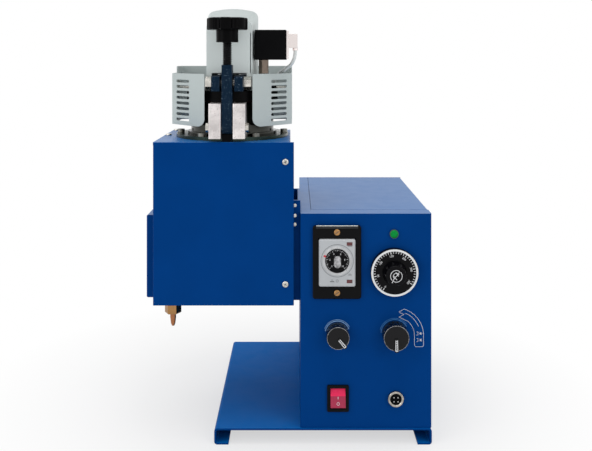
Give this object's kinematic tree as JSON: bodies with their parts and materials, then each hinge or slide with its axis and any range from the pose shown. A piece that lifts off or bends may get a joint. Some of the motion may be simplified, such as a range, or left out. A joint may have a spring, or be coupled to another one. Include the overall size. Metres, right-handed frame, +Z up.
{
  "type": "glue sealing machine",
  "caption": "Bench glue sealing machine: heated glue tank with a clamped, guarded lid and a nozzle below, beside a blue control box with timer, dials and switch.",
  "frame": {"origin": "on the floor, at the middle of the bounding box seen from above", "axes": "+Z up; -Y is the side with the control panel and the clamp; +X is the side of the control box, -X the side of the nozzle and the terminal box"},
  "size_m": [0.3274, 0.2846, 0.4925],
  "materials": {
    "blue": "satin",
    "zinc": "plated",
    "black_plastic": "gloss",
    "steel": "brushed",
    "brass": "satin",
    "timer_silver": "satin",
    "white_plastic": "satin",
    "amber_lens": "gloss",
    "green_lens": "gloss",
    "red_plastic": "gloss",
    "polished": "polished",
    "matte_black": "matte",
    "board_green": "satin",
    "core_steel": "matte",
    "copper": "satin",
    "wool": "matte",
    "aluminium": "satin",
    "navy": "satin",
    "black_metal": "satin",
    "seal_rubber": "matte",
    "grey_sheet": "satin",
    "clear_lead": "gloss"
  },
  "bodies": {
    "machine": {"base_plate": "blue", "base_screws": "zinc", "control_chassis": "blue", "control_cover": "blue", "cover_screws": "zinc", "timer_frame": "black_plastic", "timer_strip": "steel", "timer_screws": "brass", "timer_case": "timer_silver", "timer_scale": "white_plastic", "timer_lamps": "amber_lens", "power_lamp": "green_lens", "thermostat": "steel", "left_potentiometer": "steel", "right_potentiometer": "steel", "switch_body": "black_plastic", "connector_shell": "polished", "connector_insert": "matte_black", "mains_inlet": "matte_black", "circuit_board": "board_green", "transformer": "core_steel", "terminal_strip": "matte_black", "tank_cover": "blue", "tank_frame": "blue", "tank_top_plate": "blue", "side_box": "blue", "tank_bracket": "blue", "bracket_bolts": "zinc", "pot": "polished", "flange_ring": "steel", "ring_screws": "zinc", "band_heater": "steel", "thermostat_bulb": "copper", "insulation": "wool", "outlet_block": "aluminium", "nozzle": "brass", "nozzle_tip": "copper", "clevis": "aluminium", "hinge_block": "aluminium", "pivot_bolts": "zinc", "clamp_stop": "matte_black"},
    "clamp": {"clamp_bar": "navy"},
    "screw": {"clamp_screw": "black_metal"},
    "knob": {"star_knob": "black_plastic"},
    "lid_set": {"lid": "black_metal", "lid_seal": "seal_rubber", "lid_bars": "navy", "lug_bolt": "zinc", "hood": "grey_sheet", "guard": "grey_sheet", "guard_brackets": "zinc", "valve_stem": "brass", "valve_coil": "matte_black", "valve_plug": "polished", "valve_lead": "clear_lead"},
    "temperature_setting": {"temperature_dial": "black_plastic"},
    "timer_setting": {"timer_dial": "black_plastic"},
    "left_setting": {"left_knob": "black_plastic"},
    "right_setting": {"right_knob": "black_plastic"},
    "rocker_button": {"rocker": "red_plastic"}
  },
  "joints": [
    {"name": "clamp_swing", "type": "hinge", "parent": "machine", "child": "clamp", "pos_m": [-0.0677, -0.1177, 0.354], "axis": [1, 0, 0], "range_deg": [0, 90]},
    {"name": "screw_travel", "type": "slide", "parent": "clamp", "child": "screw", "axis": [0, 0, -1], "range_m": [0, 0.008]},
    {"name": "star_knob_turn", "type": "hinge", "parent": "screw", "child": "knob", "pos_m": [-0.0677, -0.1177, 0.4641], "axis": [0, 0, -1], "range_deg": [0, 1440]},
    {"name": "lid_hinge", "type": "hinge", "parent": "machine", "child": "lid_set", "pos_m": [-0.0677, 0.0303, 0.366], "axis": [-1, 0, 0], "range_deg": [0, 95]},
    {"name": "temperature_turn", "type": "hinge", "parent": "machine", "child": "temperature_setting", "pos_m": [0.1195, -0.1217, 0.1936], "axis": [0, -1, 0], "range_deg": [-60, 240]},
    {"name": "timer_turn", "type": "hinge", "parent": "machine", "child": "timer_setting", "pos_m": [0.0555, -0.1287, 0.207], "axis": [0, -1, 0], "range_deg": [-60, 240]},
    {"name": "left_knob_turn", "type": "hinge", "parent": "machine", "child": "left_setting", "pos_m": [0.0561, -0.1217, 0.124], "axis": [0, -1, 0], "range_deg": [-90, 180]},
    {"name": "right_knob_turn", "type": "hinge", "parent": "machine", "child": "right_setting", "pos_m": [0.1203, -0.1217, 0.124], "axis": [0, -1, 0], "range_deg": [-135, 135]},
    {"name": "rocker_tilt", "type": "hinge", "parent": "machine", "child": "rocker_button", "pos_m": [0.0567, -0.1202, 0.0515], "axis": [1, 0, 0], "range_deg": [0, 14]}
  ],
  "couplings": [
    {"joint": "star_knob_turn", "follows": "screw_travel", "rad_per_m": 3141.5}
  ]
}
